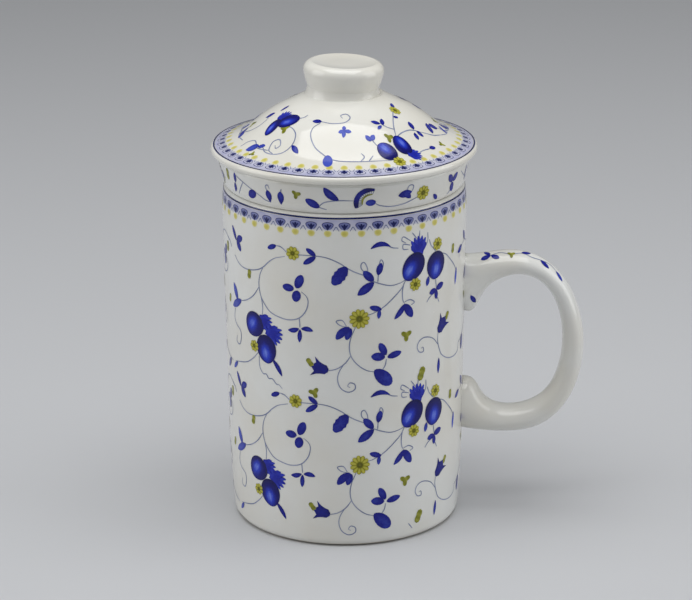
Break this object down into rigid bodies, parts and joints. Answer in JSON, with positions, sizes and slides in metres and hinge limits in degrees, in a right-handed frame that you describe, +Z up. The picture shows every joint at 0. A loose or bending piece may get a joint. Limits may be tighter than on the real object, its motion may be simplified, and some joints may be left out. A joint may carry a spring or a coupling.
{
  "type": "lidded tea mug with infuser",
  "caption": "Tall porcelain tea mug with a ring handle, a lift-out perforated porcelain infuser whose collar sits on the rim, and a domed lid with a flat button knob.",
  "frame": {"origin": "on the mug's axis, in the plane of the foot ring it stands on", "axes": "+Z up along the mug's axis and the longest extent; +X from the axis towards the handle; +Y away from the viewer of the picture"},
  "size_m": [0.1234, 0.0874, 0.1551],
  "materials": {
    "mug_porcelain": "glossy white glaze with a printed blue vine pattern",
    "infuser_porcelain": "glossy white glaze with a printed sprig on the collar",
    "lid_porcelain": "glossy slightly warm white glaze with printed sprays"
  },
  "bodies": {
    "mug": {"mug_body": "mug_porcelain", "mug_handle": "mug_porcelain"},
    "infuser": {"infuser_basket": "infuser_porcelain"},
    "lid": {"lid": "lid_porcelain", "lid_knob": "lid_porcelain"}
  },
  "joints": [
    {"name": "infuser_lift", "type": "slide", "parent": "mug", "child": "infuser", "axis": [0, 0, 1], "range_m": [0, 0.075]},
    {"name": "lid_lift", "type": "slide", "parent": "infuser", "child": "lid", "axis": [0, 0, 1], "range_m": [0, 0.045]}
  ]
}
